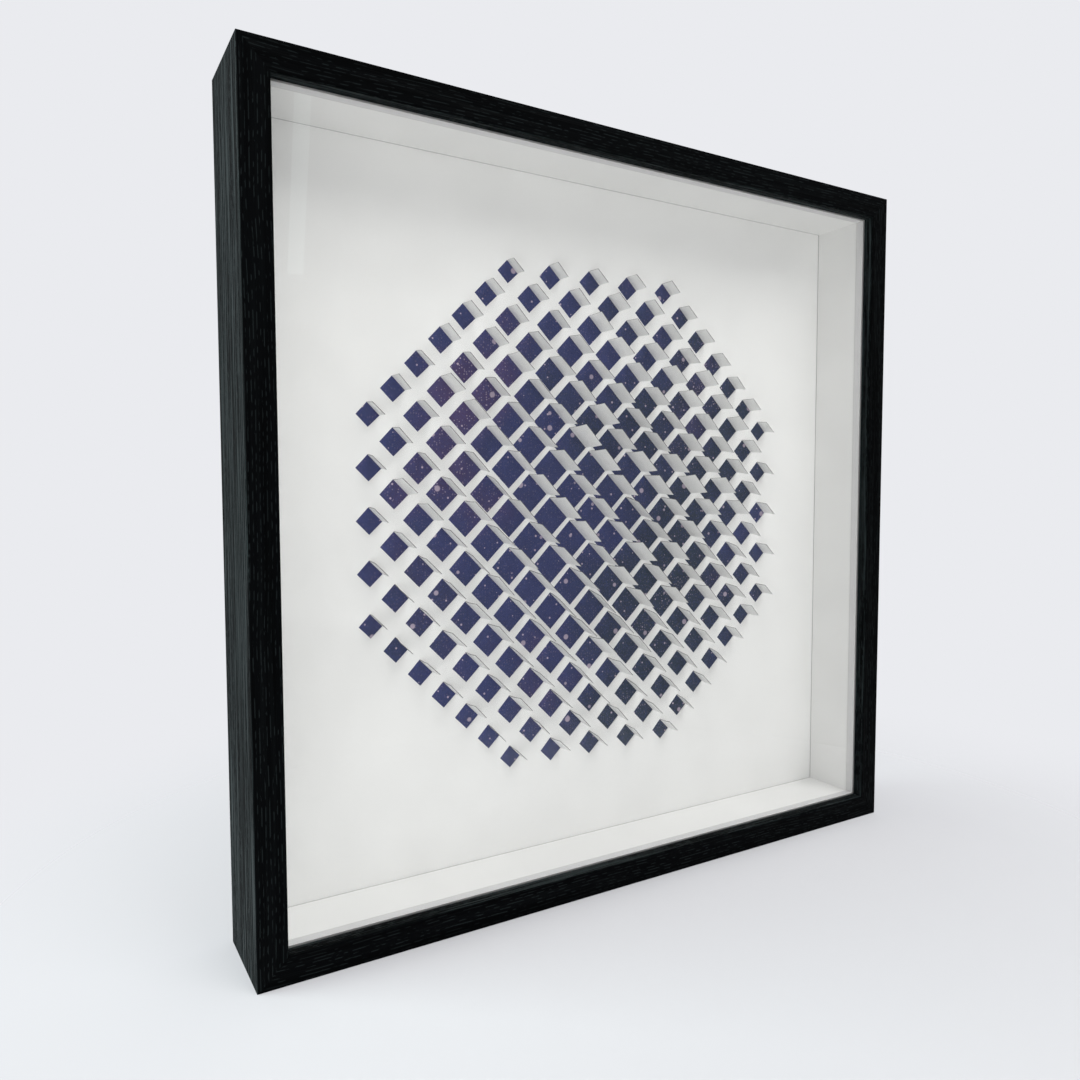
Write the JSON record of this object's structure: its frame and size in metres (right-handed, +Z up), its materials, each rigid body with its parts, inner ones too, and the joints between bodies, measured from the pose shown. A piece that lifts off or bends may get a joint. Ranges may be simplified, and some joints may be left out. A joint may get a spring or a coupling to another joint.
{
  "type": "framed paper art",
  "caption": "Square deep box frame in black stained wood, with glass over a white paper sheet whose square flaps are folded up from a dark speckled sheet, to hang on a wall or stand on a shelf.",
  "frame": {"origin": "on the ground under the middle of the frame: the middle of the box's underside", "axes": "+X across the frame to the right of a person looking at the front, +Y from the front to the wall, +Z up; the art faces -Y"},
  "size_m": [0.5, 0.066, 0.5],
  "materials": {
    "black_wood": "open-grained, black stain, satin",
    "glass": "clear, polished",
    "white_board": "matt white",
    "white_paper": "matt white, heavy",
    "night_paper": "matt indigo print with pale specks",
    "brown_fibreboard": "raw fibreboard",
    "steel": "bright zinc plate"
  },
  "bodies": {
    "root": {"top_rail": "black_wood", "bottom_rail": "black_wood", "left_rail": "black_wood", "right_rail": "black_wood", "corner_nails": "steel", "glazing": "glass", "window_slip": "white_board", "top_spacer": "white_board", "bottom_spacer": "white_board", "left_spacer": "white_board", "right_spacer": "white_board", "folded_sheet": "white_paper", "night_sheet": "night_paper", "mount_board": "white_board", "backing_board": "brown_fibreboard", "backing_tabs": "steel", "sawtooth_hanger": "steel", "hanger_rivets": "steel"}
  },
  "joints": []
}
